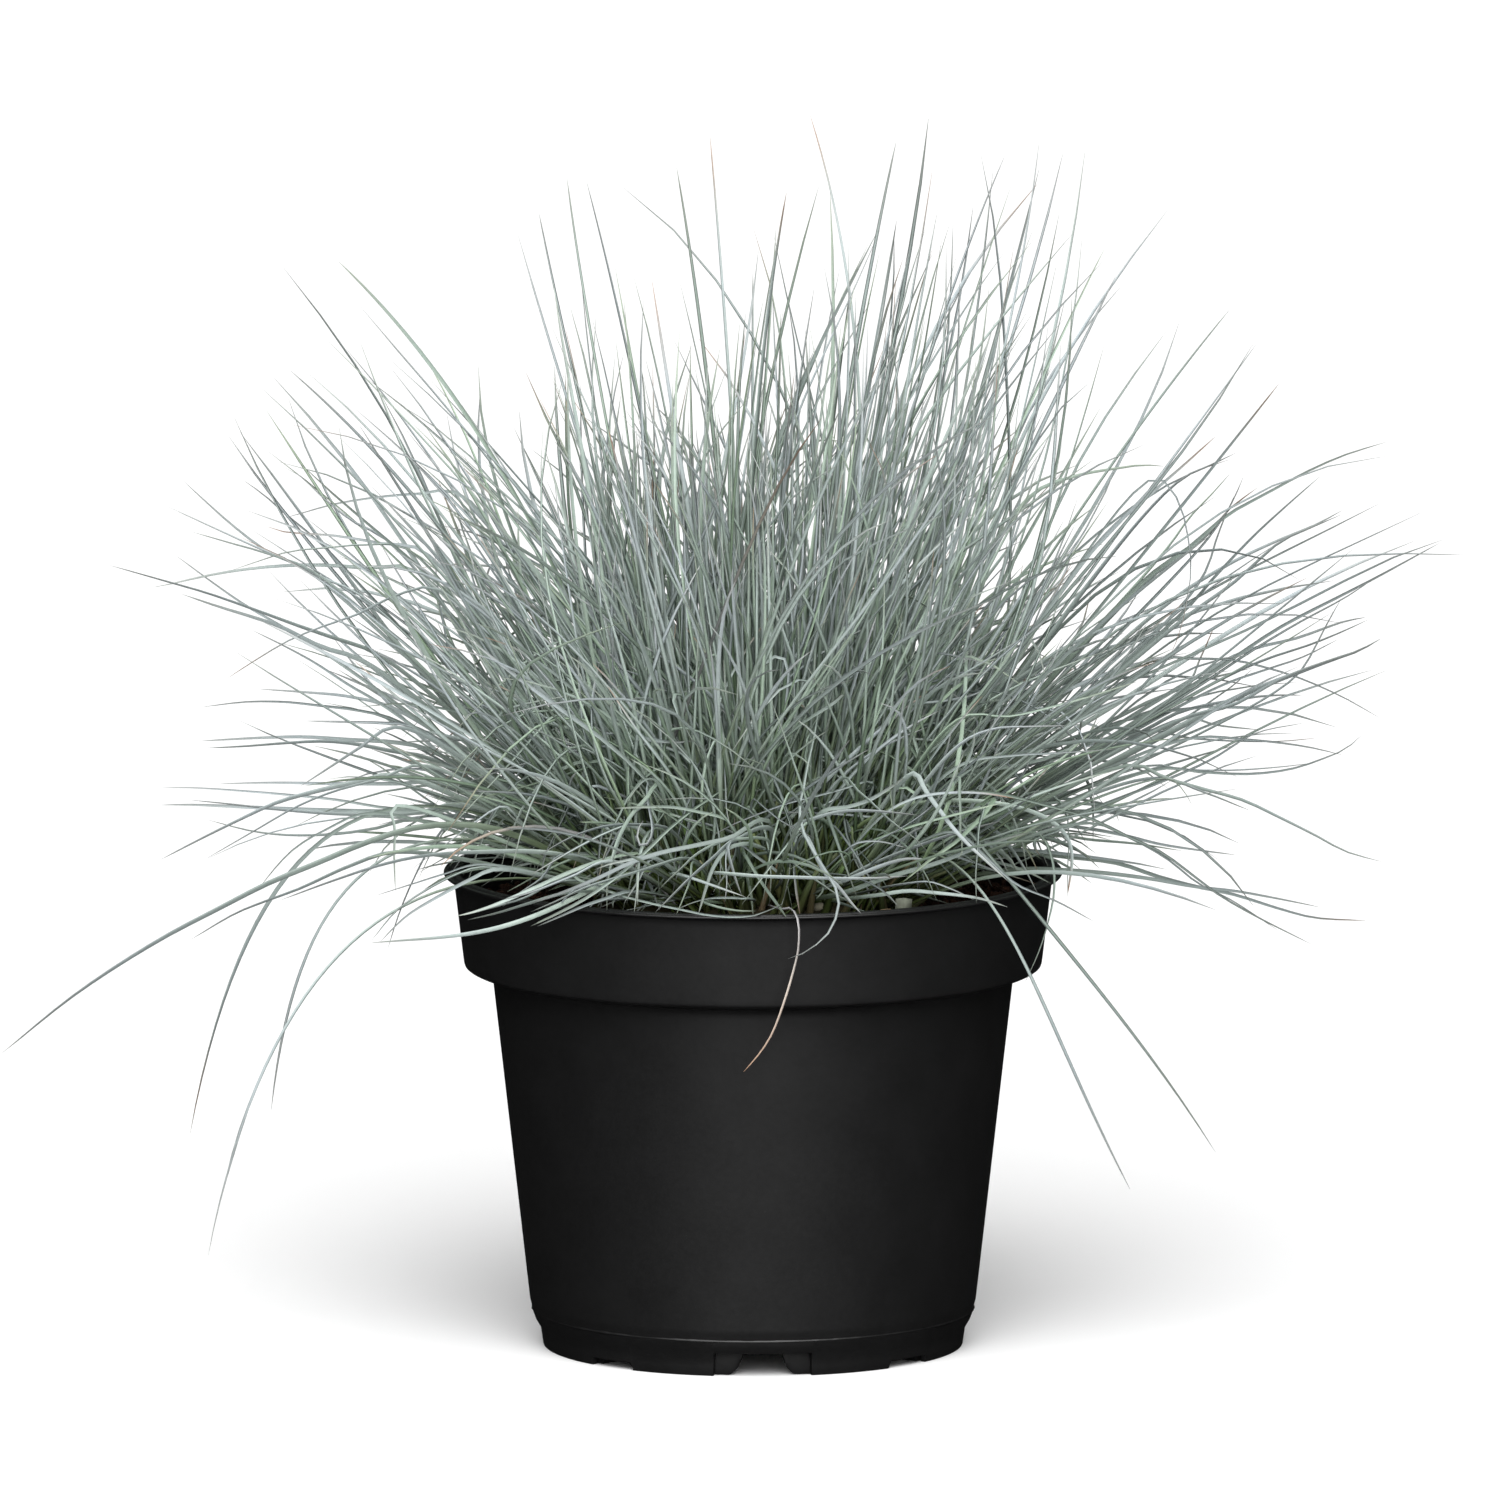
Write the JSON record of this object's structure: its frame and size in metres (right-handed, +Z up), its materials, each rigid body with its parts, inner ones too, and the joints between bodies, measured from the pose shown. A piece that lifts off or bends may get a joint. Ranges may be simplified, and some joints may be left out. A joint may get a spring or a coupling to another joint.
{
  "type": "potted blue fescue clump",
  "caption": "Round clump of fine silvery blue-green grass leaves in a charcoal nursery pot with a deep collar, thin ridged lip and notched foot.",
  "frame": {"origin": "on the pot's axis at ground level, where the foot pads stand", "axes": "+Z up along the pot's axis, -Y towards the front, the side that the picture shows, +X to the right seen from the front"},
  "size_m": [0.2995, 0.2825, 0.2611],
  "materials": {
    "pot_plastic": "satin",
    "peat": "matte",
    "sheath_bases": "matte",
    "blue_leaf": "matte"
  },
  "bodies": {
    "root": {"pot": "pot_plastic", "soil": "peat", "crown": "sheath_bases", "tiller_01": "blue_leaf", "tiller_02": "blue_leaf", "tiller_03": "blue_leaf", "tiller_04": "blue_leaf", "tiller_05": "blue_leaf", "tiller_06": "blue_leaf", "tiller_07": "blue_leaf", "tiller_08": "blue_leaf", "tiller_09": "blue_leaf", "tiller_10": "blue_leaf", "tiller_11": "blue_leaf", "tiller_12": "blue_leaf", "tiller_13": "blue_leaf", "tiller_14": "blue_leaf", "tiller_15": "blue_leaf", "tiller_16": "blue_leaf", "tiller_17": "blue_leaf", "tiller_18": "blue_leaf", "tiller_19": "blue_leaf", "tiller_20": "blue_leaf", "tiller_21": "blue_leaf", "tiller_22": "blue_leaf", "tiller_23": "blue_leaf", "tiller_24": "blue_leaf", "tiller_25": "blue_leaf", "tiller_26": "blue_leaf", "tiller_27": "blue_leaf", "tiller_28": "blue_leaf", "tiller_29": "blue_leaf", "tiller_30": "blue_leaf", "tiller_31": "blue_leaf", "tiller_32": "blue_leaf", "tiller_33": "blue_leaf", "tiller_34": "blue_leaf", "tiller_35": "blue_leaf", "tiller_36": "blue_leaf", "tiller_37": "blue_leaf", "tiller_38": "blue_leaf", "tiller_39": "blue_leaf", "tiller_40": "blue_leaf", "tiller_41": "blue_leaf", "tiller_42": "blue_leaf", "tiller_43": "blue_leaf", "tiller_44": "blue_leaf", "tiller_45": "blue_leaf", "tiller_46": "blue_leaf", "tiller_47": "blue_leaf", "tiller_48": "blue_leaf"}
  },
  "joints": []
}
